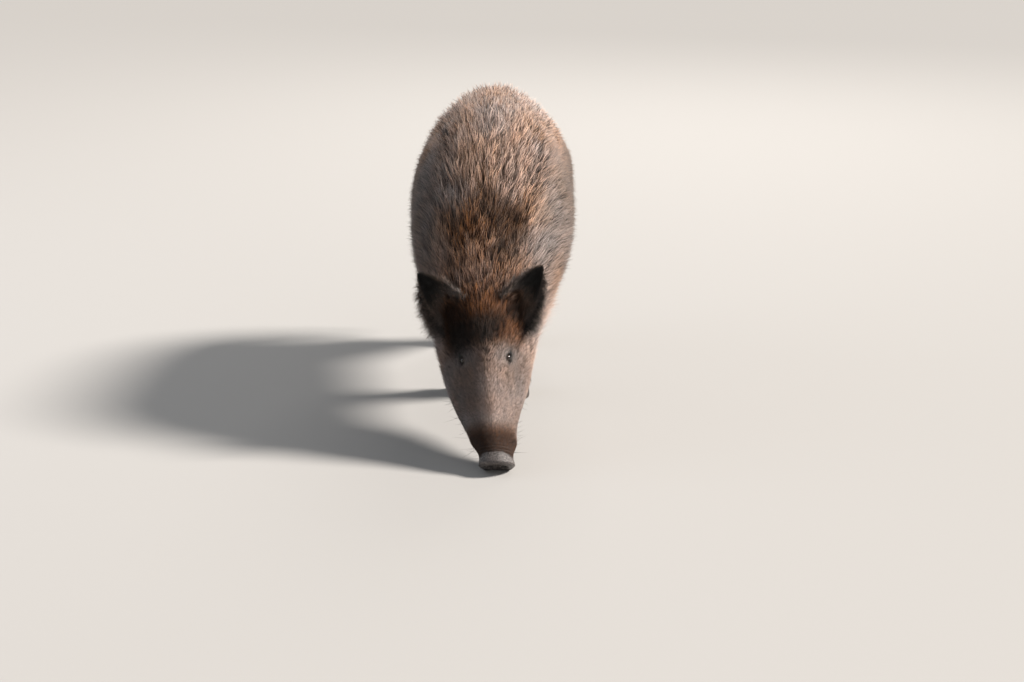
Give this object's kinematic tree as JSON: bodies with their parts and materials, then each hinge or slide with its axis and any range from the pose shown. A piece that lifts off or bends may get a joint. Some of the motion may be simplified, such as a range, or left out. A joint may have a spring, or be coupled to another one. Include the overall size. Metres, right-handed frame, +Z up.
{
  "type": "wild boar",
  "caption": "Life-size still model of a standing wild boar with lowered head, snout on the ground, bristly brown coat and dark ears and feet.",
  "frame": {"origin": "on the ground, under the middle of the animal's length and width", "axes": "+Z up; the animal faces -Y, so +Y runs along its length to the tail; +X is its left side"},
  "size_m": [0.4325, 1.2839, 0.7877],
  "materials": {
    "bristle_coat": "matte bristle fur, brown and grizzled",
    "dark_coat": "matte short fur, blackish brown",
    "face_coat": "matte short fur, grey brown",
    "nose_leather": "bare, finely pitted, slightly moist",
    "eye": "wet gloss, dark brown",
    "horn": "worn grey-black horn"
  },
  "bodies": {
    "root": {"trunk": "bristle_coat", "neck": "bristle_coat", "head": "bristle_coat", "upper_foreleg_left": "bristle_coat", "upper_foreleg_right": "bristle_coat", "upper_hindleg_left": "bristle_coat", "upper_hindleg_right": "bristle_coat", "tail": "bristle_coat", "lower_foreleg_left": "dark_coat", "lower_foreleg_right": "dark_coat", "lower_hindleg_left": "dark_coat", "lower_hindleg_right": "dark_coat", "ear_left": "dark_coat", "ear_right": "dark_coat", "tail_tuft": "dark_coat", "muzzle": "face_coat", "lower_jaw": "face_coat", "nose_disc": "nose_leather", "eye_left": "eye", "eye_right": "eye", "claw_foreleg_left_inner": "horn", "claw_foreleg_left_outer": "horn", "claw_foreleg_right_inner": "horn", "claw_foreleg_right_outer": "horn", "claw_hindleg_left_inner": "horn", "claw_hindleg_left_outer": "horn", "claw_hindleg_right_inner": "horn", "claw_hindleg_right_outer": "horn", "dewclaw_foreleg_left_inner": "horn", "dewclaw_foreleg_left_outer": "horn", "dewclaw_foreleg_right_inner": "horn", "dewclaw_foreleg_right_outer": "horn", "dewclaw_hindleg_left_inner": "horn", "dewclaw_hindleg_left_outer": "horn", "dewclaw_hindleg_right_inner": "horn", "dewclaw_hindleg_right_outer": "horn"}
  },
  "joints": []
}
